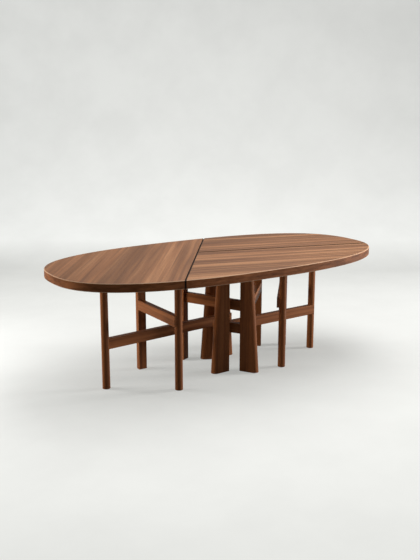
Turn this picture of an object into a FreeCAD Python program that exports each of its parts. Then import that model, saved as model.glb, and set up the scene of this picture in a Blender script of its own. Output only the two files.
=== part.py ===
import FreeCAD, Part
import math
import os

# Dining table: a rounded top in three leaves on a base of posts, flared fins and rails at two levels.
# Millimetres. x runs along the table, y towards its rear, z up from the floor under its middle.

Vector = FreeCAD.Vector

# Top
TOP_LENGTH = 2220.0
TOP_WIDTH = 1112.0
TOP_THICKNESS = 50.0
TABLE_HEIGHT = 750.0
TOP_ARRIS = 3.5
OUTLINE_POWER = 2.55
OUTLINE_STEPS = 9

# Seams between the leaves: one crosses the table, the other runs on from it to the right end
CROSS_SEAM_GAP = 7.0
LONG_SEAM_GAP = 9.0
SEAM_ARRIS = 1.0
STRIP_RECESS = 5.0
CROSS_SEAM_ANGLE = 53.0
LONG_SEAM_ANGLE = -16.5
SEAM_MEETING_SHARES = (-0.063, 0.233)

# Round posts, a little wider at the floor
POST_FLOOR_DIAMETER = 48.0
POST_TOP_DIAMETER = 45.0

# Posts with a flat face for the rail and a rounded back
FACED_POST_WIDTH = 54.0
FACED_POST_DEPTH = 50.0
FACED_POST_SIDE = 34.0

# Fins: upright planks with a rounded outer edge that flares towards the floor
FIN_THICKNESS = 56.0
FIN_FLOOR_WIDTH = 120.0
FIN_TOP_WIDTH = 72.0
FIN_ARRIS = 3.0

# The two rear fins and the post behind them stand as one group on the left spine rail
REAR_FIN_GAP = 12.0
REAR_FIN_STANDOFF = 9.0
CENTRE_POST_GAP = 98.0

# The slanted front fin stands off from the other front fin, along and across the right spine rail
FRONT_FIN_GAP = 77.0
FRONT_FIN_STEP = 49.0

# Rails
RAIL_THICKNESS = 38.0
RAIL_HEIGHT = 65.0
RAIL_ARRIS = 3.0
LOW_RAIL_LEVEL = 248.0
HIGH_RAIL_LEVEL = 400.0
RAIL_END_REACH = 14.0
FIN_LAP = 66.0
FIN_HOUSING_DEPTH = 3.0

# Joints in the wood
TENON_THICKNESS = 14.0
TENON_HEIGHT = 45.0
TENON_LENGTH = 28.0
DOWEL_DIAMETER = 10.0
DOWEL_LENGTH = 30.0
HOLE_END_ROOM = 1.0
FIT = 0.15

# Fixings between the legs and the top
STUD_DIAMETER = 10.0
STUD_IN_LEG = 45.0
INSERT_DIAMETER = 16.0
INSERT_LENGTH = 22.0

# Steel plates that tie the leaves together underneath
PLATE_LENGTH = 120.0
PLATE_WIDTH = 40.0
PLATE_THICKNESS = 4.0
PLATE_ARRIS = 6.0
SCREW_SHANK_DIAMETER = 4.5
SCREW_HEAD_DIAMETER = 9.0
SCREW_HEAD_HEIGHT = 2.5
SCREW_LENGTH = 24.0

# Glides under the legs
GLIDE_DIAMETER = 32.0
GLIDE_HEIGHT = 3.0
GLIDE_PIN_DIAMETER = 5.0
GLIDE_PIN_LENGTH = 14.0

# One overrun for every cut
OVERRUN = 5.0

# Places as shares of the top's half length and half width
POST_SHARES = {
    "left_end_post": (-0.699, 0.084),
    "left_rear_post": (-0.384, 0.413),
    "left_front_post": (-0.378, -0.376),
    "right_inner_post": (0.433, 0.398),
    "right_front_post": (0.322, -0.383),
    "right_end_post": (0.701, -0.007),
    "right_rear_post": (0.577, 0.248),
}
LEFT_SPINE_END_SHARES = (0.169, 0.244)
RIGHT_SPINE_END_SHARES = (-0.045, -0.068)
REAR_LEFT_FIN_ANGLE = 155.0
FRONT_RIGHT_FIN_ANGLE = -59.0

# Where things sit on their carriers, as shares of the carrier's own size
DIAGONAL_RAIL_SEAT_SHARE = 0.36
FIN_STUD_SHARES = (0.26, 0.68)
FIN_GLIDE_SHARES = (0.22, 0.72)
FACED_POST_STUD_SHARE = 0.50
CROSS_PLATE_SHARES = (0.50, -0.40, -1.09)
LONG_PLATE_SHARES = (0.20, 0.51, 0.82)
PLATE_SCREW_SHARES = (-0.40, -0.20, 0.20, 0.40)

UNDERSIDE = TABLE_HEIGHT - TOP_THICKNESS
HALF_LENGTH = TOP_LENGTH / 2
HALF_WIDTH = TOP_WIDTH / 2
HALF_RAIL = RAIL_THICKNESS / 2
HALF_FIN = FIN_THICKNESS / 2
LEG_HEIGHT = UNDERSIDE - GLIDE_HEIGHT
REACH = TOP_LENGTH + TOP_WIDTH


def place(shares):
    """Point on the floor from shares of the top's half length and half width."""
    return Vector(shares[0] * HALF_LENGTH, shares[1] * HALF_WIDTH, 0)


def heading(degrees):
    """Unit direction in plan."""
    return Vector(math.cos(math.radians(degrees)), math.sin(math.radians(degrees)), 0)


def left_of(direction):
    """Unit direction in plan, a quarter turn to the left."""
    return Vector(-direction.y, direction.x, 0)


def at_height(point, z):
    return Vector(point.x, point.y, z)


def prism(origin, direction, ahead, behind, left, right, low, high):
    """Upright box round a plan point, measured along and across a direction."""
    across = left_of(direction)
    corners = [
        origin + direction * ahead + across * left,
        origin - direction * behind + across * left,
        origin - direction * behind - across * right,
        origin + direction * ahead - across * right,
    ]
    corners = [at_height(corner, low) for corner in corners]
    return Part.Face(Part.makePolygon(corners + corners[:1])).extrude(Vector(0, 0, high - low))


def beyond(point, direction):
    """Everything past an upright plane."""
    return prism(point, direction, REACH, 0, REACH, REACH, -OVERRUN, TABLE_HEIGHT + OVERRUN)


def axis_between(start, end, start_offset, end_offset):
    """Straight axis that passes to the left of two plan points by the given offsets."""
    chord = end - start
    swing = math.degrees(math.asin((end_offset - start_offset) / chord.Length))
    direction = heading(math.degrees(math.atan2(chord.y, chord.x)) + swing)
    return start + left_of(direction) * start_offset, direction


def travel(origin, direction, point):
    """How far along an axis a point lies."""
    return (point - origin).dot(direction)


def bar(origin, direction, behind, ahead, level):
    """Rail blank with eased long edges."""
    blank = prism(origin, direction, ahead, behind, HALF_RAIL, HALF_RAIL, level, level + RAIL_HEIGHT)
    along = [edge for edge in blank.Edges if edge.Length > RAIL_HEIGHT + OVERRUN]
    return blank.makeFillet(RAIL_ARRIS, along)


def rail_room(origin, direction, behind, ahead, level):
    """Space that a rail takes in a leg it is let into."""
    side = HALF_RAIL + FIT
    return prism(origin, direction, ahead, behind, side, side, level - FIT, level + RAIL_HEIGHT + FIT)


def tenon(origin, direction, behind, ahead, level, room):
    """Tenon on a rail, or the mortise for it when given some room."""
    low = level + (RAIL_HEIGHT - TENON_HEIGHT) / 2
    side = TENON_THICKNESS / 2 + room
    return prism(origin, direction, ahead, behind, side, side, low - room, low + TENON_HEIGHT + room)


def pin(centre, direction, diameter, length, room):
    """Round pin about its middle, or the hole for it when given some room."""
    end_room = HOLE_END_ROOM if room else 0
    half = length / 2 + end_room
    return Part.makeCylinder(diameter / 2 + room, 2 * half, centre - direction * half, direction)


def single(shape):
    """The one solid that a cut or join leaves."""
    return shape.removeSplitter().Solids[0]


# Top
def top_outline(inset, z):
    """Rounded outline of the top, drawn in by the inset."""
    points = []
    for step in range(4 * OUTLINE_STEPS):
        turn = math.pi / 2 * step / OUTLINE_STEPS
        across, along = math.sin(turn), math.cos(turn)
        x = math.copysign(abs(along) ** (2 / OUTLINE_POWER), along) * HALF_LENGTH
        y = math.copysign(abs(across) ** (2 / OUTLINE_POWER), across) * HALF_WIDTH
        steepness = 2 - 2 / OUTLINE_POWER
        normal_x = math.copysign(abs(along) ** steepness, along) / HALF_LENGTH
        normal_y = math.copysign(abs(across) ** steepness, across) / HALF_WIDTH
        normal = Vector(normal_x, normal_y, 0).normalize()
        points.append(Vector(x, y, z) - normal * inset)
    curve = Part.BSplineCurve()
    curve.interpolate(Points=points, PeriodicFlag=True)
    return Part.Wire(curve.toShape())


def top_slab():
    """Slab with an eased arris round both faces."""
    outlines = [
        top_outline(TOP_ARRIS, UNDERSIDE),
        top_outline(0, UNDERSIDE + TOP_ARRIS),
        top_outline(0, TABLE_HEIGHT - TOP_ARRIS),
        top_outline(TOP_ARRIS, TABLE_HEIGHT),
    ]
    return Part.makeLoft(outlines, True, True)


def seam_cutter(start, direction, behind, gap):
    """Slot along a seam, with eased lips at both faces of the top."""
    half = gap / 2
    lip = half + SEAM_ARRIS + OVERRUN
    profile = [
        (lip, UNDERSIDE - OVERRUN),
        (half, UNDERSIDE + SEAM_ARRIS),
        (half, TABLE_HEIGHT - SEAM_ARRIS),
        (lip, TABLE_HEIGHT + OVERRUN),
    ]
    profile += [(-across, z) for across, z in reversed(profile)]
    end = start - direction * behind
    corners = [at_height(end + left_of(direction) * across, z) for across, z in profile]
    return Part.Face(Part.makePolygon(corners + corners[:1])).extrude(direction * (behind + REACH))


SEAM_MEETING = place(SEAM_MEETING_SHARES)
CROSS_SEAM = heading(CROSS_SEAM_ANGLE)
LONG_SEAM = heading(LONG_SEAM_ANGLE)
CROSS_NORMAL = left_of(CROSS_SEAM)
LONG_NORMAL = left_of(LONG_SEAM)


def top_leaves():
    slab = top_slab()
    slab = slab.cut(seam_cutter(SEAM_MEETING, CROSS_SEAM, REACH, CROSS_SEAM_GAP))
    slab = slab.cut(seam_cutter(SEAM_MEETING, LONG_SEAM, 0, LONG_SEAM_GAP))
    found = {}
    for leaf in slab.Solids:
        reach = leaf.CenterOfMass - SEAM_MEETING
        rear_or_front = "top_rear_leaf" if reach.dot(LONG_NORMAL) > 0 else "top_front_leaf"
        found["top_left_leaf" if reach.dot(CROSS_NORMAL) > 0 else rear_or_front] = leaf
    return found


def seam_strips():
    """Dark strips that fill the seams to a little below both faces and short of the rim."""
    low = UNDERSIDE + STRIP_RECESS
    high = TABLE_HEIGHT - STRIP_RECESS
    inside = Part.makeLoft([top_outline(STRIP_RECESS, low), top_outline(STRIP_RECESS, high)], True, True)
    half_cross = CROSS_SEAM_GAP / 2
    half_long = LONG_SEAM_GAP / 2 - FIT
    taken = prism(SEAM_MEETING, CROSS_SEAM, REACH, REACH, half_cross, half_cross, low, high)
    half_cross -= FIT
    cross_strip = prism(SEAM_MEETING, CROSS_SEAM, REACH, REACH, half_cross, half_cross, low, high)
    long_strip = prism(SEAM_MEETING, LONG_SEAM, REACH, 0, half_long, half_long, low, high).cut(taken)
    return [single(strip.common(inside)) for strip in (cross_strip, long_strip)]


# Legs
def round_post(centre, room):
    floor_radius = POST_FLOOR_DIAMETER / 2 + room
    top_radius = POST_TOP_DIAMETER / 2 + room
    return Part.makeCone(floor_radius, top_radius, LEG_HEIGHT, at_height(centre, GLIDE_HEIGHT))


def faced_post(face_middle, facing):
    """Post whose flat face looks along facing; its sides run straight and then round off."""
    across = left_of(facing) * (FACED_POST_WIDTH / 2)
    shoulder = facing * FACED_POST_SIDE
    middle = at_height(face_middle, GLIDE_HEIGHT)
    left_front = middle + across
    right_front = middle - across
    left_back = left_front - shoulder
    right_back = right_front - shoulder
    crown = middle - facing * FACED_POST_DEPTH
    edges = [
        Part.makeLine(right_front, left_front),
        Part.makeLine(left_front, left_back),
        Part.Arc(left_back, crown, right_back).toShape(),
        Part.makeLine(right_back, right_front),
    ]
    return Part.Face(Part.Wire(edges)).extrude(Vector(0, 0, LEG_HEIGHT))


def fin_outline(inner_middle, direction, width, z):
    """Plank section with a half-round outer end and eased inner corners."""
    across = left_of(direction)
    middle = at_height(inner_middle, z)
    flat_end = width - HALF_FIN
    left_outer = middle + across * HALF_FIN + direction * flat_end
    right_outer = middle - across * HALF_FIN + direction * flat_end
    left_inner = middle + across * HALF_FIN + direction * FIN_ARRIS
    right_inner = middle - across * HALF_FIN + direction * FIN_ARRIS
    left_edge = middle + across * (HALF_FIN - FIN_ARRIS)
    right_edge = middle - across * (HALF_FIN - FIN_ARRIS)
    tip = middle + direction * width
    return Part.Wire([
        Part.makeLine(right_edge, right_inner),
        Part.makeLine(right_inner, right_outer),
        Part.Arc(right_outer, tip, left_outer).toShape(),
        Part.makeLine(left_outer, left_inner),
        Part.makeLine(left_inner, left_edge),
        Part.makeLine(left_edge, right_edge),
    ])


def fin(inner_middle, direction):
    floor_outline = fin_outline(inner_middle, direction, FIN_FLOOR_WIDTH, GLIDE_HEIGHT)
    head_outline = fin_outline(inner_middle, direction, FIN_TOP_WIDTH, UNDERSIDE)
    return Part.makeLoft([floor_outline, head_outline], True, True)


posts = {name: place(shares) for name, shares in POST_SHARES.items()}
solids = {}
dowels = []
facings = {}

# Spine rails: halved into a round end post, then let into the flat side of a fin
SPINES = (
    ("left_spine_rail", "left_end_post", LEFT_SPINE_END_SHARES, "rear_right_fin"),
    ("right_spine_rail", "right_end_post", RIGHT_SPINE_END_SHARES, "front_left_fin"),
)
spine_axes = {}
fins = {}
for rail_name, post_name, end_shares, fin_name in SPINES:
    centre = posts[post_name]
    origin, direction = axis_between(centre, place(end_shares), 0, 0)
    length = travel(origin, direction, place(end_shares))
    spine_axes[rail_name] = (origin, direction)
    post = round_post(centre, 0)
    left_half = prism(
        centre, direction, REACH, RAIL_END_REACH + FIT, HALF_RAIL + OVERRUN, 0,
        LOW_RAIL_LEVEL - FIT, LOW_RAIL_LEVEL + RAIL_HEIGHT + FIT,
    )
    kept_half = round_post(centre, FIT).cut(left_half)
    solids[post_name] = single(post.cut(left_half))
    solids[rail_name] = single(bar(origin, direction, RAIL_END_REACH, length, LOW_RAIL_LEVEL).cut(kept_half))
    offset = HALF_RAIL + HALF_FIN - FIN_HOUSING_DEPTH
    inner = origin + direction * (length - FIN_LAP) + left_of(direction) * offset
    fins[fin_name] = (inner, direction)
    room = rail_room(origin, direction, 0, length + FIT, LOW_RAIL_LEVEL)
    solids[fin_name] = single(fin(inner, direction).cut(room))
    low_middle = LOW_RAIL_LEVEL + RAIL_HEIGHT / 2
    dowels.append((at_height(centre, low_middle), left_of(direction), (post_name, rail_name)))
    lap_middle = origin + direction * (length - FIN_LAP / 2) + left_of(direction) * HALF_RAIL
    dowels.append((at_height(lap_middle, low_middle), left_of(direction), (fin_name, rail_name)))

# The two fins that stand at a slant
origin, direction = spine_axes["left_spine_rail"]
run = travel(origin, direction, fins["rear_right_fin"][0]) - REAR_FIN_GAP
inner = origin + direction * run + left_of(direction) * (HALF_RAIL + REAR_FIN_STANDOFF)
outward = heading(REAR_LEFT_FIN_ANGLE)
fins["rear_left_fin"] = (inner, outward)
other_inner, right_spine = fins["front_left_fin"]
front_inner = other_inner - right_spine * FRONT_FIN_GAP + left_of(right_spine) * FRONT_FIN_STEP
fins["front_right_fin"] = (front_inner, heading(FRONT_RIGHT_FIN_ANGLE))
posts["centre_rear_post"] = inner + outward * (FIN_FLOOR_WIDTH + CENTRE_POST_GAP)
room = rail_room(origin, direction, 0, REACH, LOW_RAIL_LEVEL)
solids["rear_left_fin"] = single(fin(*fins["rear_left_fin"]).cut(room))
solids["front_right_fin"] = fin(*fins["front_right_fin"])
fin_middle = inner + outward * HALF_FIN
seat = origin + direction * travel(origin, direction, fin_middle) + left_of(direction) * HALF_RAIL
dowels.append((at_height(seat, low_middle), left_of(direction), ("rear_left_fin", "left_spine_rail")))


def add_tenon(rail_name, leg_name, origin, direction, shoulder, level):
    """Join a tenon to the rail's end and cut its mortise in the leg."""
    tongue = tenon(origin, direction, 0, shoulder + TENON_LENGTH, level, 0)
    tongue = tongue.cut(beyond(origin + direction * (shoulder - TENON_LENGTH), direction * -1))
    depth = shoulder + TENON_LENGTH + HOLE_END_ROOM
    mortise = tenon(origin, direction, 0, depth, level, FIT)
    solids[rail_name] = single(solids[rail_name].fuse(tongue))
    solids[leg_name] = single(solids[leg_name].cut(mortise))


# Cross rails: tenoned into a faced post at the rear, let into the side of a round post in front
CROSS_RAILS = (
    ("left_cross_rail", "left_rear_post", "left_front_post"),
    ("right_cross_rail", "right_rear_post", "right_front_post"),
)
FLUSH = (FACED_POST_WIDTH - RAIL_THICKNESS) / 2
high_middle = HIGH_RAIL_LEVEL + RAIL_HEIGHT / 2
for rail_name, rear_name, front_name in CROSS_RAILS:
    origin, direction = axis_between(posts[rear_name], posts[front_name], -FLUSH, -HALF_RAIL)
    length = travel(origin, direction, posts[front_name]) + RAIL_END_REACH
    solids[rail_name] = bar(origin, direction, 0, length, HIGH_RAIL_LEVEL)
    room = rail_room(origin, direction, 0, length + FIT, HIGH_RAIL_LEVEL)
    solids[front_name] = single(round_post(posts[front_name], 0).cut(room))
    solids[rear_name] = faced_post(posts[rear_name], direction)
    facings[rear_name] = direction
    add_tenon(rail_name, rear_name, origin + direction * RAIL_HEIGHT, direction * -1, RAIL_HEIGHT, HIGH_RAIL_LEVEL)
    side_seat = origin + direction * (length - RAIL_END_REACH) + left_of(direction) * HALF_RAIL
    dowels.append((at_height(side_seat, high_middle), left_of(direction), (front_name, rail_name)))


def rail_to_fin(rail_name, rear_name, seat_point, inward, seat_offset):
    """Rail from a faced post to a flat side of the slanted front fin, tenoned at both ends."""
    start = posts[rear_name]
    origin, direction = axis_between(start, seat_point, FLUSH, seat_offset)
    shoulder = (seat_point - origin).dot(inward) / direction.dot(inward)
    blank = bar(origin, direction, 0, shoulder + RAIL_THICKNESS, HIGH_RAIL_LEVEL)
    solids[rail_name] = single(blank.cut(beyond(seat_point - inward * FIT, inward)))
    solids[rear_name] = faced_post(start, direction)
    facings[rear_name] = direction
    add_tenon(rail_name, rear_name, origin + direction * RAIL_HEIGHT, direction * -1, RAIL_HEIGHT, HIGH_RAIL_LEVEL)
    add_tenon(rail_name, "front_right_fin", origin, direction, shoulder, HIGH_RAIL_LEVEL)


inner, outward = fins["front_right_fin"]
rail_to_fin("centre_cross_rail", "centre_rear_post", inner, outward, HALF_RAIL - HALF_FIN)
fin_left = left_of(outward)
side_point = inner + outward * (FIN_FLOOR_WIDTH * DIAGONAL_RAIL_SEAT_SHARE) + fin_left * HALF_FIN
rail_to_fin("right_diagonal_rail", "right_inner_post", side_point, fin_left * -1, 0)

# Short rail from the right spine to the slanted front fin
origin, direction = spine_axes["right_spine_rail"]
spine_face = left_of(direction)
face_point = origin + spine_face * (HALF_RAIL + FIT)
back_run = (inner - face_point).dot(spine_face) / outward.dot(spine_face)
stub_start = inner - outward * back_run
blank = bar(stub_start, outward, RAIL_THICKNESS, back_run - FIT, LOW_RAIL_LEVEL)
solids["fin_stub_rail"] = single(blank.cut(beyond(face_point, spine_face * -1)))
add_tenon("fin_stub_rail", "front_right_fin", stub_start, outward, back_run, LOW_RAIL_LEVEL)
dowels.append((at_height(stub_start, low_middle), outward, ("fin_stub_rail", "right_spine_rail")))

# Dowels in the lapped and butted joints
for centre, direction, names in dowels:
    hole = pin(centre, direction, DOWEL_DIAMETER, DOWEL_LENGTH, FIT)
    for name in names:
        solids[name] = single(solids[name].cut(hole))
dowel_pins = [pin(centre, direction, DOWEL_DIAMETER, DOWEL_LENGTH, 0) for centre, direction, names in dowels]

# Leg tops and feet: where studs and glides go
ROUND_POSTS = ("left_end_post", "right_end_post", "left_front_post", "right_front_post")
stud_places = {}
glide_places = {}
for name in ROUND_POSTS:
    stud_places[name] = [posts[name]]
    glide_places[name] = [posts[name]]
for name, direction in facings.items():
    middle = posts[name] - direction * (FACED_POST_DEPTH * FACED_POST_STUD_SHARE)
    stud_places[name] = [middle]
    glide_places[name] = [middle]
for name, (inner, direction) in fins.items():
    stud_places[name] = [inner + direction * (FIN_TOP_WIDTH * share) for share in FIN_STUD_SHARES]
    glide_places[name] = [inner + direction * (FIN_FLOOR_WIDTH * share) for share in FIN_GLIDE_SHARES]

UP = Vector(0, 0, 1)
leaf_holes = []
studs = []
inserts = []
glides = []


def upright(point, low, high, diameter, room):
    return Part.makeCylinder(diameter / 2 + room, high - low, at_height(point, low), UP)


for name, points in stud_places.items():
    for point in points:
        foot = UNDERSIDE - STUD_IN_LEG
        head = UNDERSIDE + INSERT_LENGTH - HOLE_END_ROOM
        studs.append(upright(point, foot, head, STUD_DIAMETER, 0))
        stud_hole = upright(point, foot, UNDERSIDE + OVERRUN, STUD_DIAMETER, FIT)
        solids[name] = single(solids[name].cut(stud_hole))
        sleeve = upright(point, UNDERSIDE, UNDERSIDE + INSERT_LENGTH, INSERT_DIAMETER, 0)
        bore = upright(point, UNDERSIDE, UNDERSIDE + INSERT_LENGTH, STUD_DIAMETER, FIT)
        inserts.append(sleeve.cut(bore))
        leaf_holes.append(upright(point, UNDERSIDE, UNDERSIDE + INSERT_LENGTH, INSERT_DIAMETER, FIT))

for name, points in glide_places.items():
    for point in points:
        disc = upright(point, 0, GLIDE_HEIGHT, GLIDE_DIAMETER, 0)
        spike = upright(point, 0, GLIDE_HEIGHT + GLIDE_PIN_LENGTH, GLIDE_PIN_DIAMETER, 0)
        glides.append(single(disc.fuse(spike)))
        pin_hole = upright(point, 0, GLIDE_HEIGHT + GLIDE_PIN_LENGTH, GLIDE_PIN_DIAMETER, FIT)
        solids[name] = single(solids[name].cut(pin_hole))

# Plates across the seams, let in flush, each held by four countersunk screws
plate_places = [
    (SEAM_MEETING + CROSS_SEAM * (HALF_WIDTH * share), CROSS_NORMAL) for share in CROSS_PLATE_SHARES
]
plate_places += [
    (SEAM_MEETING + LONG_SEAM * (HALF_LENGTH * share), LONG_NORMAL) for share in LONG_PLATE_SHARES
]
plates = []
screws = []


def plate_block(centre, direction, room):
    half_length = PLATE_LENGTH / 2 + room
    half_width = PLATE_WIDTH / 2 + room
    top = UNDERSIDE + PLATE_THICKNESS
    block = prism(centre, direction, half_length, half_length, half_width, half_width, UNDERSIDE, top)
    upright_edges = [edge for edge in block.Edges if abs(edge.tangentAt(0).z) > 0.9]
    return block.makeFillet(PLATE_ARRIS, upright_edges)


def screw(point, room):
    head_radius = SCREW_HEAD_DIAMETER / 2 + room
    shank_radius = SCREW_SHANK_DIAMETER / 2 + room
    head = Part.makeCone(head_radius, shank_radius, SCREW_HEAD_HEIGHT, at_height(point, UNDERSIDE))
    shank = upright(point, UNDERSIDE, UNDERSIDE + SCREW_LENGTH, SCREW_SHANK_DIAMETER, room)
    return single(head.fuse(shank))


for centre, direction in plate_places:
    plate = plate_block(centre, direction, 0)
    leaf_holes.append(plate_block(centre, direction, FIT))
    for share in PLATE_SCREW_SHARES:
        point = centre + direction * (PLATE_LENGTH * share)
        screws.append(screw(point, 0))
        plate = single(plate.cut(screw(point, FIT)))
        leaf_holes.append(screw(point, FIT))
    plates.append(plate)

for name, leaf in top_leaves().items():
    solids[name] = leaf.cut(leaf_holes).Solids[0]
solids["seam_strips"] = Part.makeCompound(seam_strips())
solids["lap_dowels"] = Part.makeCompound(dowel_pins)
solids["leg_studs"] = Part.makeCompound(studs)
solids["top_inserts"] = Part.makeCompound(inserts)
solids["floor_glides"] = Part.makeCompound(glides)
solids["seam_plates"] = Part.makeCompound(plates)
solids["seam_plate_screws"] = Part.makeCompound(screws)

os.makedirs("parts", exist_ok=True)
for name, shape in solids.items():
    shape.exportStep("parts/" + name + ".step")
    print(name, len(shape.Solids), shape.isValid(), round(shape.Volume))
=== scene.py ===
import bpy
import math
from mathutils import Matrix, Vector

# Dining table in walnut on a pale studio sweep. Metres and degrees, in the frame of the model.
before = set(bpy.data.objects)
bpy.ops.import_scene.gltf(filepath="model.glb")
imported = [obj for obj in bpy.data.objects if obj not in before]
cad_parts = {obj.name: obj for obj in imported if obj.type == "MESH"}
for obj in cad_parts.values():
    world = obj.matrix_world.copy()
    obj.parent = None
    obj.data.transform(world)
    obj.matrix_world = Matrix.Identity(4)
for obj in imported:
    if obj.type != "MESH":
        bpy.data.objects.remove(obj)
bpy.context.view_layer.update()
scene = bpy.context.scene
scene.view_settings.view_transform = "Standard"

# Camera
CAMERA_PLACE = (-2.648, -3.942, 1.667)
CAMERA_PITCH = 12.854
CAMERA_HEADING = 32.98
FOCAL_PIXELS = 766.93
FRAME_HEIGHT_PIXELS = 560
SENSOR_HEIGHT = 36.0
AXIS_OFFSET_PIXELS = 3.84

camera_data = bpy.data.cameras.new("camera")
camera_data.sensor_fit = "VERTICAL"
camera_data.sensor_height = SENSOR_HEIGHT
camera_data.lens = FOCAL_PIXELS * SENSOR_HEIGHT / FRAME_HEIGHT_PIXELS
camera_data.shift_x = AXIS_OFFSET_PIXELS / FRAME_HEIGHT_PIXELS
camera = bpy.data.objects.new("camera", camera_data)
camera.location = CAMERA_PLACE
camera.rotation_euler = (math.radians(90 - CAMERA_PITCH), 0, math.radians(-CAMERA_HEADING))
scene.collection.objects.link(camera)
scene.camera = camera

# Directions as the viewer has them
AHEAD = Vector((math.sin(math.radians(CAMERA_HEADING)), math.cos(math.radians(CAMERA_HEADING)), 0))
RIGHT = Vector((AHEAD.y, -AHEAD.x, 0))
UP = Vector((0, 0, 1))


# Shader helpers
def node(tree, kind, inputs=None, **settings):
    """New shader node; a socket given as an input is linked, any other value is set."""
    made = tree.nodes.new(kind)
    for key, value in settings.items():
        setattr(made, key, value)
    for key, value in (inputs or {}).items():
        feed(tree, made.inputs[key], value)
    return made


def feed(tree, socket, value):
    """Links a socket to an input, or sets the input to a value."""
    if isinstance(value, bpy.types.NodeSocket):
        tree.links.new(value, socket)
    else:
        socket.default_value = value


def object_place(tree):
    return node(tree, "ShaderNodeTexCoord").outputs["Object"]


def true_normal(tree):
    return node(tree, "ShaderNodeNewGeometry").outputs["Normal"]


def maths(tree, operation, first, second=0.0, third=0.0):
    return node(tree, "ShaderNodeMath", {0: first, 1: second, 2: third}, operation=operation).outputs[0]


def vector_maths(tree, operation, first, second):
    return node(tree, "ShaderNodeVectorMath", {0: first, 1: second}, operation=operation).outputs[0]


def along(tree, vector, direction):
    """Reach of a vector along a direction."""
    product = node(tree, "ShaderNodeVectorMath", {0: vector, 1: direction}, operation="DOT_PRODUCT")
    return product.outputs["Value"]


def part_of(tree, vector, axis):
    return node(tree, "ShaderNodeSeparateXYZ", {0: vector}).outputs[axis]


def grey(tree, value):
    return node(tree, "ShaderNodeCombineXYZ", {"X": value, "Y": value, "Z": value}).outputs[0]


def noise(tree, vector, counts, detail, roughness=0.5):
    """Noise with its own count per metre along each axis."""
    spread = vector_maths(tree, "MULTIPLY", vector, counts)
    inputs = {"Vector": spread, "Scale": 1.0, "Detail": detail, "Roughness": roughness}
    return node(tree, "ShaderNodeTexNoise", inputs).outputs["Fac"]


def span(tree, value, source, target):
    """Value carried from one range to another and held at its ends."""
    low, high = source
    new_low, new_high = target
    inputs = {"Value": value, "From Min": low, "From Max": high, "To Min": new_low, "To Max": new_high}
    return node(tree, "ShaderNodeMapRange", inputs, clamp=True).outputs[0]


def ramp(tree, value, stops):
    made = node(tree, "ShaderNodeValToRGB", {"Fac": value})
    elements = made.color_ramp.elements
    while len(elements) < len(stops):
        elements.new(1.0)
    for element, (place, colour) in zip(elements, stops):
        element.position = place
        element.color = (*colour, 1)
    return made.outputs["Color"]


def mixed(tree, factor, first, second, blend="MIX"):
    made = node(tree, "ShaderNodeMix", data_type="RGBA", blend_type=blend)
    factor_input, first_input, second_input = made.inputs[0], made.inputs[6], made.inputs[7]
    feed(tree, factor_input, factor)
    feed(tree, first_input, first)
    feed(tree, second_input, second)
    colour_output = made.outputs[2]
    return colour_output


def scaled(colour, factor):
    """Colour made lighter or darker by a factor."""
    return tuple(min(1.0, part * factor) for part in colour)


def relief(tree, shader, height, strength, depth):
    bump = node(tree, "ShaderNodeBump", {"Strength": strength, "Distance": depth, "Height": height})
    feed(tree, shader.inputs["Normal"], bump.outputs[0])


def background_rays(tree):
    """One for camera, glossy and transmission rays, which show the pale background, or nought."""
    rays = node(tree, "ShaderNodeLightPath").outputs
    shown = maths(tree, "MAXIMUM", rays["Is Camera Ray"], rays["Is Glossy Ray"])
    return maths(tree, "MAXIMUM", shown, rays["Is Transmission Ray"])


def new_material(name):
    made = bpy.data.materials.new(name)
    made.use_nodes = True
    tree = made.node_tree
    return made, tree, tree.nodes["Principled BSDF"]


# Walnut: counts per metre along and across the grain, and what each layer adds
SEED_STEP = (1.7, 0.93, 0.61)
PLANK_SHIFT = (3.0, 0.7, 0.7)
DRIFT_COUNTS = (1.3, 5.0, 5.0)
DRIFT_MIDDLE = 0.5
WANDER = 0.016
BAND_COUNTS = (0.55, 19.0, 19.0)
BAND_SHARE = 0.46
STREAK_COUNTS = (0.8, 62.0, 62.0)
STREAK_SHARE = 0.42
FIBRE_COUNTS = (5.0, 620.0, 620.0)
FIBRE_SHARE = 0.12
FIBRE_RELIEF = 0.5
PORE_COUNTS = (26.0, 1300.0, 1300.0)
PORE_RANGE = (0.60, 0.72)
PORE_DEPTH = 0.45
PORE_DARKENING = 0.45
CRISP = 0.6
MIDDLE_FIGURE = 0.50
WOOD_ROUGHNESS = 0.46
STREAK_ROUGHNESS = 0.16
PORE_ROUGHNESS = 0.25

# Edges made lighter where they round off: partly real rubbing, partly a painted highlight
WEAR_AND_HIGHLIGHT_RADIUS = 0.0035
WEAR_AND_HIGHLIGHT_FACING = (0.99, 0.88)
WEAR_AND_HIGHLIGHT_STRENGTH = 0.35
WEAR_AND_HIGHLIGHT_LIGHTENING = 2.2
WEAR_AND_HIGHLIGHT_STREAKS = (0.3, 0.6)
WEAR_AND_HIGHLIGHT_SHARES = (0.6, 1.0)

# Rim and arris of the top, told apart by how level the surface is: the rim's lipping in tones darkened
# partly as painted shade, the arris a painted highlight
RIM_LIPPING_AND_SHADE_TONES = ((0.093, 0.031, 0.010), (0.230, 0.083, 0.031))
RIM_COUNTS = (9.0, 9.0, 45.0)
RIM_RANGE = (0.34, 0.66)
RIM_LEVELS = (0.3, 0.5)
ARRIS_HIGHLIGHT_COLOUR = (0.62, 0.41, 0.28, 1)
ARRIS_HIGHLIGHT_STRENGTH = 0.55
ARRIS_LOW_LEVELS = (0.5, 0.6)
ARRIS_HIGH_LEVELS = (0.8, 0.9)

# Painted shade in the seams
SEAM_SHADE_COLOUR = (0.006, 0.004, 0.003, 1)
SEAM_FADE = 0.0006

UPRIGHT = (0, math.radians(90), 0)


def flat(degrees):
    """Turn that brings a plan heading on to the first axis."""
    return (0, 0, math.radians(-degrees))


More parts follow.
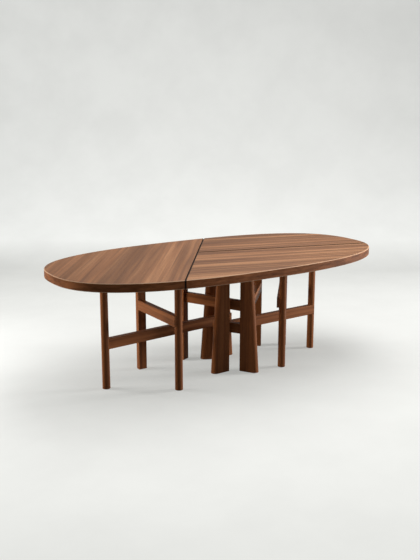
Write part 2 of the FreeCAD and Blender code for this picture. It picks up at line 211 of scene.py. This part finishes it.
def planked(tree, grain, width, contrast):
    """Grain shifted plank by plank, and the tone of each plank."""
    index = maths(tree, "FLOOR", maths(tree, "DIVIDE", part_of(tree, grain, "Y"), width))
    chance = node(tree, "ShaderNodeTexWhiteNoise", {"W": index}, noise_dimensions="1D")
    shift = vector_maths(tree, "MULTIPLY", chance.outputs["Color"], PLANK_SHIFT)
    tone = span(tree, chance.outputs["Value"], (0.0, 1.0), (1.0 - contrast, 1.0 + contrast))
    return vector_maths(tree, "ADD", grain, shift), tone


def wandering(tree, grain):
    """Grain that drifts a little sideways on its way."""
    drift = maths(tree, "SUBTRACT", noise(tree, grain, DRIFT_COUNTS, detail=2.0), DRIFT_MIDDLE)
    wander = maths(tree, "MULTIPLY", drift, WANDER)
    sideways = node(tree, "ShaderNodeCombineXYZ", {"Y": wander, "Z": wander}).outputs[0]
    return vector_maths(tree, "ADD", grain, sideways)


def lipped_with_shade_and_highlight(tree, place, colour):
    """Colour of a leaf with the lipping on its rim, darkened partly as painted shade, and a pale painted
    highlight on the arris above it.
    """
    layers = noise(tree, place, RIM_COUNTS, detail=3.0, roughness=CRISP)
    # Rim lipping: real cross grain, in tones darkened partly as painted shade
    lipping = ramp(tree, layers, tuple(zip(RIM_RANGE, RIM_LIPPING_AND_SHADE_TONES)))
    level = maths(tree, "ABSOLUTE", part_of(tree, true_normal(tree), "Z"))
    colour = mixed(tree, span(tree, level, RIM_LEVELS, (1.0, 0.0)), colour, lipping)
    # Painted highlight along the arris
    rising = span(tree, level, ARRIS_LOW_LEVELS, (0.0, 1.0))
    falling = span(tree, level, ARRIS_HIGH_LEVELS, (ARRIS_HIGHLIGHT_STRENGTH, 0.0))
    return mixed(tree, maths(tree, "MULTIPLY", rising, falling), colour, ARRIS_HIGHLIGHT_COLOUR)


def edge_wear_and_highlight(tree, streaks):
    """How far an edge is made light, partly as real rubbing and partly as a painted highlight: more where a
    rounded normal leaves the true one.
    """
    soft_normal = node(tree, "ShaderNodeBevel", {"Radius": WEAR_AND_HIGHLIGHT_RADIUS}, samples=4).outputs[0]
    facing = along(tree, soft_normal, true_normal(tree))
    wear_and_highlight_share = span(tree, streaks, WEAR_AND_HIGHLIGHT_STREAKS, WEAR_AND_HIGHLIGHT_SHARES)
    return maths(tree, "MULTIPLY", span(tree, facing, WEAR_AND_HIGHLIGHT_FACING, (0.0, WEAR_AND_HIGHLIGHT_STRENGTH)), wear_and_highlight_share)


def seam_shade(tree, place, seams):
    """Mask of the painted shade: one inside the seams and nought elsewhere, from each seam's normal, offset
    and half width.
    """
    shade = 0.0
    for normal, offset, half_width in seams:
        distance = maths(tree, "ABSOLUTE", maths(tree, "SUBTRACT", along(tree, place, normal), offset))
        inside = span(tree, distance, (half_width, half_width + SEAM_FADE), (1.0, 0.0))
        shade = maths(tree, "MAXIMUM", shade, inside)
    return shade


def walnut(
    name, turn, seed, tones, contrast=0.10, plank=0.0, plank_contrast=0.0, seams=(), gloss=0.08
):
    """Oiled wood with its grain along the first axis after the turn, in planks if a width is given."""
    made, tree, shader = new_material(name)
    place = object_place(tree)
    grain = node(tree, "ShaderNodeMapping", {"Vector": place, "Rotation": turn}).outputs[0]
    grain = vector_maths(tree, "ADD", grain, tuple(seed * step for step in SEED_STEP))
    if plank:
        grain, tone = planked(tree, grain, plank, plank_contrast)
    grain = wandering(tree, grain)
    bands = noise(tree, grain, BAND_COUNTS, detail=2.0)
    streaks = noise(tree, grain, STREAK_COUNTS, detail=3.0, roughness=CRISP)
    fibres = noise(tree, grain, FIBRE_COUNTS, detail=3.0, roughness=CRISP)
    pores = noise(tree, grain, PORE_COUNTS, detail=1.0)
    pore_mask = span(tree, pores, PORE_RANGE, (0.0, PORE_DEPTH))

    figure = maths(tree, "MULTIPLY", streaks, STREAK_SHARE)
    figure = maths(tree, "MULTIPLY_ADD", bands, BAND_SHARE, figure)
    figure = maths(tree, "MULTIPLY_ADD", fibres, FIBRE_SHARE, figure)
    dark, middle, light = tones
    stops = (MIDDLE_FIGURE - contrast, MIDDLE_FIGURE, MIDDLE_FIGURE + contrast)
    colour = ramp(tree, figure, tuple(zip(stops, (dark, middle, light))))
    colour = mixed(tree, pore_mask, colour, (*scaled(dark, PORE_DARKENING), 1))
    if plank:
        colour = mixed(tree, 1.0, colour, grey(tree, tone), "MULTIPLY")
        colour = lipped_with_shade_and_highlight(tree, place, colour)
    # Lighter edges: partly real rubbing, partly a painted highlight
    colour = mixed(tree, edge_wear_and_highlight(tree, streaks), colour, (*scaled(light, WEAR_AND_HIGHLIGHT_LIGHTENING), 1))

    roughness = maths(tree, "MULTIPLY_ADD", pore_mask, PORE_ROUGHNESS, WOOD_ROUGHNESS)
    roughness = maths(tree, "MULTIPLY_ADD", streaks, STREAK_ROUGHNESS, roughness)
    if seams:
        shade = seam_shade(tree, place, seams)
        # Seams darkened with painted shade
        colour = mixed(tree, shade, colour, SEAM_SHADE_COLOUR)
        roughness = maths(tree, "MAXIMUM", roughness, shade)
    feed(tree, shader.inputs["Base Color"], colour)
    feed(tree, shader.inputs["Roughness"], roughness)
    height = maths(tree, "SUBTRACT", maths(tree, "MULTIPLY", fibres, FIBRE_RELIEF), pore_mask)
    relief(tree, shader, height, strength=0.25, depth=0.0004)
    shader.inputs["Specular IOR Level"].default_value = gloss
    return made


# Metal
PATCH_COUNTS = (60.0, 60.0, 60.0)
PATCH_RANGE = (0.35, 0.65)
PATCH_DULLING = 0.7
PATCH_BRIGHTENING = 1.15
MARK_ROUGHNESS = 0.25


def turned_metal(name, colour, roughness, mark_counts):
    """Plated or machined metal with fine marks and dull patches."""
    made, tree, shader = new_material(name)
    place = object_place(tree)
    marks = noise(tree, place, mark_counts, detail=3.0)
    patches = noise(tree, place, PATCH_COUNTS, detail=3.0)
    tones = (scaled(colour, PATCH_DULLING), scaled(colour, PATCH_BRIGHTENING))
    feed(tree, shader.inputs["Base Color"], ramp(tree, patches, tuple(zip(PATCH_RANGE, tones))))
    feed(tree, shader.inputs["Roughness"], maths(tree, "MULTIPLY_ADD", marks, MARK_ROUGHNESS, roughness))
    relief(tree, shader, marks, strength=0.15, depth=0.0002)
    shader.inputs["Metallic"].default_value = 1.0
    return made


# Plastic
MOULD_COUNTS = (1500.0, 1500.0, 1500.0)
SCUFF_COUNTS = (90.0, 90.0, 90.0)
SCUFF_CRISPNESS = 0.7
SCUFF_RANGE = (0.4, 0.7)
SCUFF_ROUGHNESS = 0.3
PLASTIC_ROUGHNESS = 0.45


def moulded(name, dark, light):
    """Matt moulded plastic with a fine grain and scuffs."""
    made, tree, shader = new_material(name)
    place = object_place(tree)
    fine = noise(tree, place, MOULD_COUNTS, detail=2.0)
    scuffs = noise(tree, place, SCUFF_COUNTS, detail=4.0, roughness=SCUFF_CRISPNESS)
    roughness = maths(tree, "MULTIPLY_ADD", scuffs, SCUFF_ROUGHNESS, PLASTIC_ROUGHNESS)
    feed(tree, shader.inputs["Base Color"], ramp(tree, scuffs, tuple(zip(SCUFF_RANGE, (dark, light)))))
    feed(tree, shader.inputs["Roughness"], roughness)
    relief(tree, shader, fine, strength=0.2, depth=0.0002)
    return made


# Tones from dark to light
TOP_TONES = ((0.106, 0.046, 0.022), (0.197, 0.088, 0.041), (0.296, 0.147, 0.072))
BASE_TONES = ((0.108, 0.033, 0.009), (0.212, 0.069, 0.020), (0.325, 0.118, 0.040))
DOWEL_TONES = ((0.36, 0.22, 0.11), (0.46, 0.30, 0.16), (0.56, 0.39, 0.23))
# Strip tones near black: painted shade in the seam gaps
STRIP_SHADE_TONES = ((0.010, 0.006, 0.004), (0.018, 0.011, 0.008), (0.030, 0.019, 0.013))
GLIDE_TONES = ((0.012, 0.010, 0.009), (0.040, 0.035, 0.030))
STEEL_COLOUR = (0.55, 0.55, 0.56)
BRASS_COLOUR = (0.72, 0.56, 0.28)

# Seams between the leaves, with the width of the painted shade along each
CROSS_ANGLE = 53.0
LONG_ANGLE = -16.5
SEAM_MEETING = Vector((-0.0699, 0.1296, 0.0))
CROSS_SHADE_WIDTH = 0.0095
LONG_SHADE_WIDTH = 0.018


def seam(degrees, width):
    """Normal of a seam, its offset from the origin and half the width of its painted shade."""
    normal = Vector((-math.sin(math.radians(degrees)), math.cos(math.radians(degrees)), 0))
    return tuple(normal), normal.dot(SEAM_MEETING), width / 2


CROSS_SEAM = seam(CROSS_ANGLE, CROSS_SHADE_WIDTH)
LONG_SEAM = seam(LONG_ANGLE, LONG_SHADE_WIDTH)

# Wood of the leaves, rails, posts and fins
LEFT_FIGURE = {"contrast": 0.14, "plank": 0.118, "plank_contrast": 0.25, "seams": (CROSS_SEAM,)}
RIGHT_FIGURE = {"contrast": 0.064, "plank": 0.085, "plank_contrast": 0.13, "seams": (CROSS_SEAM, LONG_SEAM)}
BASE_FIGURE = {"contrast": 0.13, "gloss": 0.15}
LEAVES = {
    "top_left_leaf": (CROSS_ANGLE, LEFT_FIGURE),
    "top_rear_leaf": (LONG_ANGLE, RIGHT_FIGURE),
    "top_front_leaf": (LONG_ANGLE, RIGHT_FIGURE),
}
RAIL_HEADINGS = {
    "left_spine_rail": 5.27,
    "right_spine_rail": 2.35,
    "left_cross_rail": -89.1,
    "centre_cross_rail": -62.7,
    "right_diagonal_rail": 43.3,
    "right_cross_rail": 51.2,
    "fin_stub_rail": -59.0,
}
LEGS = sorted(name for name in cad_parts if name.endswith(("_post", "_fin")))
FIRST_LEAF_SEED = 1
FIRST_RAIL_SEED = 11
FIRST_LEG_SEED = 31
DOWEL_SEED = 51
STRIP_SEED = 52

finishes = {}
for seed, (name, (degrees, figure)) in enumerate(LEAVES.items(), FIRST_LEAF_SEED):
    finishes[name] = walnut("walnut_" + name, flat(degrees), seed, TOP_TONES, **figure)
for seed, (name, degrees) in enumerate(RAIL_HEADINGS.items(), FIRST_RAIL_SEED):
    finishes[name] = walnut("walnut_" + name, flat(degrees), seed, BASE_TONES, **BASE_FIGURE)
for seed, name in enumerate(LEGS, FIRST_LEG_SEED):
    finishes[name] = walnut("walnut_" + name, UPRIGHT, seed, BASE_TONES, **BASE_FIGURE)

# Strips, dowels and fixings
# The seam strips are toned near black as painted shade of the gaps they sit in
finishes["seam_strips"] = walnut("strip_wood", flat(LONG_ANGLE), STRIP_SEED, STRIP_SHADE_TONES, gloss=0.03)
finishes["lap_dowels"] = walnut("dowel_wood", flat(0), DOWEL_SEED, DOWEL_TONES)
steel = turned_metal("plated_steel", STEEL_COLOUR, roughness=0.28, mark_counts=(40.0, 900.0, 900.0))
for name in ("leg_studs", "seam_plates", "seam_plate_screws"):
    finishes[name] = steel
brass = turned_metal("insert_brass", BRASS_COLOUR, roughness=0.25, mark_counts=(900.0, 900.0, 60.0))
finishes["top_inserts"] = brass
finishes["floor_glides"] = moulded("glide_plastic", *GLIDE_TONES)
for name, finish in finishes.items():
    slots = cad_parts[name].data.materials
    slots.clear()
    slots.append(finish)

# Studio sweep: floor that curves up into a wall behind the table
SWEEP_HALF_WIDTH = 14.0
SWEEP_NEAR = -14.0
SWEEP_BEND = 3.0
SWEEP_RADIUS = 2.0
SWEEP_HEIGHT = 7.0
BEND_STEPS = 24

profile = [(SWEEP_NEAR, 0.0)]
for step in range(BEND_STEPS + 1):
    turn = math.pi / 2 * step / BEND_STEPS
    ahead = SWEEP_BEND + SWEEP_RADIUS * math.sin(turn)
    height = SWEEP_RADIUS * (1 - math.cos(turn))
    profile.append((ahead, height))
profile.append((SWEEP_BEND + SWEEP_RADIUS, SWEEP_HEIGHT))
corners = []
for ahead, height in profile:
    for side in (-SWEEP_HALF_WIDTH, SWEEP_HALF_WIDTH):
        corners.append(AHEAD * ahead + RIGHT * side + UP * height)
faces = [(2 * i, 2 * i + 1, 2 * i + 3, 2 * i + 2) for i in range(len(profile) - 1)]
sweep_mesh = bpy.data.meshes.new("studio_sweep")
sweep_mesh.from_pydata(corners, [], faces)
for face in sweep_mesh.polygons:
    face.use_smooth = True
sweep = bpy.data.objects.new("studio_sweep", sweep_mesh)
scene.collection.objects.link(sweep)

# Paper of the sweep: pale tones with painted light falloff by height, side and depth, faint clouds, and the
# table's shadow
HEIGHT_RANGE = (0.0, 3.0)
HEIGHT_LIGHT_STOPS = (
    (0.0, (0.64, 0.65, 0.625)),
    (0.06, (0.88, 0.895, 0.87)),
    (0.24, (0.79, 0.803, 0.78)),
    (0.5, (0.735, 0.748, 0.726)),
)
CLOUD_COUNTS = (2.2, 2.2, 2.2)
CLOUD_RANGE = (0.35, 0.65)
CLOUD_TONES = (0.95, 1.01)
SIDE_RANGE = (-2.5, 2.5)
SIDE_LIGHT_TONES = (1.06, 0.86)
DEPTH_RANGE = (-2.0, 3.0)
DEPTH_LIGHT_STOPS = ((0.08, 0.96), (0.48, 0.72), (0.80, 0.92))
GLOW = 0.81
LIT_COLOUR = (0.34, 0.34, 0.33, 1)
BOUNCE_COLOUR = (0.23, 0.23, 0.22, 1)

paper, tree, shader = new_material("studio_paper")
tree.nodes.remove(shader)
place = object_place(tree)
level = span(tree, part_of(tree, place, "Z"), HEIGHT_RANGE, (0.0, 1.0))
# Painted light falloff: brightest low on the wall, darker higher up
pale = ramp(tree, level, HEIGHT_LIGHT_STOPS)
clouds = span(tree, noise(tree, place, CLOUD_COUNTS, detail=4.0, roughness=CRISP), CLOUD_RANGE, CLOUD_TONES)
painted_side_light = span(tree, along(tree, place, RIGHT), SIDE_RANGE, SIDE_LIGHT_TONES)
depth = span(tree, along(tree, place, AHEAD), DEPTH_RANGE, (0.0, 1.0))
depth_shade = ramp(tree, depth, tuple((stop, (tone, tone, tone)) for stop, tone in DEPTH_LIGHT_STOPS))
# Painted light falloff: lighter to the left and toward the viewer, darker to the right and in a band
# through the table
for tint in (grey(tree, clouds), grey(tree, painted_side_light), depth_shade):
    pale = mixed(tree, 1.0, pale, tint, "MULTIPLY")
lit = node(tree, "ShaderNodeBsdfDiffuse", {"Color": LIT_COLOUR})
glow = node(tree, "ShaderNodeEmission", {"Color": pale, "Strength": GLOW})
shown = node(tree, "ShaderNodeAddShader", {0: lit.outputs[0], 1: glow.outputs[0]})
unseen = node(tree, "ShaderNodeBsdfDiffuse", {"Color": BOUNCE_COLOUR})
cases = {0: background_rays(tree), 1: unseen.outputs[0], 2: shown.outputs[0]}
choice = node(tree, "ShaderNodeMixShader", cases)
feed(tree, tree.nodes["Material Output"].inputs["Surface"], choice.outputs[0])
sweep_mesh.materials.append(paper)

# World: faint light all round, and a pale distance past the edges of the sweep
AMBIENT_COLOUR = (1.0, 0.99, 0.97, 1)
AMBIENT_STRENGTH = 0.12
DISTANCE_COLOUR = (0.72, 0.73, 0.71, 1)

world = bpy.data.worlds.new("studio_world")
scene.world = world
world.use_nodes = True
tree = world.node_tree
ambient = tree.nodes["Background"]
ambient.inputs["Color"].default_value = AMBIENT_COLOUR
ambient.inputs["Strength"].default_value = AMBIENT_STRENGTH
distance = node(tree, "ShaderNodeBackground", {"Color": DISTANCE_COLOUR, "Strength": 1.0})
cases = {0: background_rays(tree), 1: ambient.outputs[0], 2: distance.outputs[0]}
choice = node(tree, "ShaderNodeMixShader", cases)
feed(tree, tree.nodes["World Output"].inputs["Surface"], choice.outputs[0])

# Soft lamps
LAMP_TARGET = Vector((0, 0, 0.6))


def softbox(name, ahead, right, up, width, depth, power, glossy=True):
    """Lamp that looks at the table from a place given as the viewer has it, itself out of view."""
    data = bpy.data.lights.new(name, "AREA")
    data.shape = "RECTANGLE"
    data.size = width
    data.size_y = depth
    data.energy = power
    box = bpy.data.objects.new(name, data)
    box.location = AHEAD * ahead + RIGHT * right + UP * up
    box.rotation_euler = (LAMP_TARGET - box.location).to_track_quat("-Z", "Y").to_euler()
    box.visible_camera = False
    box.visible_glossy = glossy
    scene.collection.objects.link(box)


softbox("overhead", ahead=0.3, right=0.6, up=3.4, width=4.0, depth=2.4, power=158)
softbox("right_side", ahead=0.9, right=5.0, up=1.35, width=1.2, depth=1.2, power=275)
softbox("left_side", ahead=-0.1, right=-2.9, up=0.8, width=1.2, depth=0.9, power=74, glossy=False)
